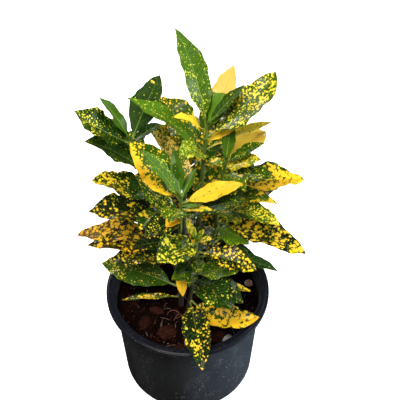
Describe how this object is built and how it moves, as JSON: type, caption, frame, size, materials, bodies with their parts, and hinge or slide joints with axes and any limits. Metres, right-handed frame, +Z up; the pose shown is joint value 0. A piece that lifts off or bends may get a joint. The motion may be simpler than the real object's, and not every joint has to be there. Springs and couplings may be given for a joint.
{
  "type": "potted croton",
  "caption": "Bushy gold-dust croton with speckled green and yellow leaves, growing in a round black plastic nursery pot of potting mix.",
  "frame": {"origin": "centre of the pot's flat underside, on the ground", "axes": "+Z up; -Y is the front, where the low leaves lean out over the rim; +X is the plant's right seen from the front"},
  "size_m": [0.2586, 0.2564, 0.482],
  "materials": {
    "pot": "satin charcoal moulded plastic with dust and light scuffs",
    "potting_mix": "damp crumbly bark mix with husk chunks, stones and pale grit",
    "foliage": "glossy green leaves with yellow dots, blotches and pale midribs, on thin brown-green stems"
  },
  "bodies": {
    "root": {"pot": "pot", "potting_mix": "potting_mix", "middle_stem": "foliage", "left_stem": "foliage", "front_stem": "foliage", "right_stem": "foliage", "back_stem": "foliage", "low_stem": "foliage"}
  },
  "joints": []
}
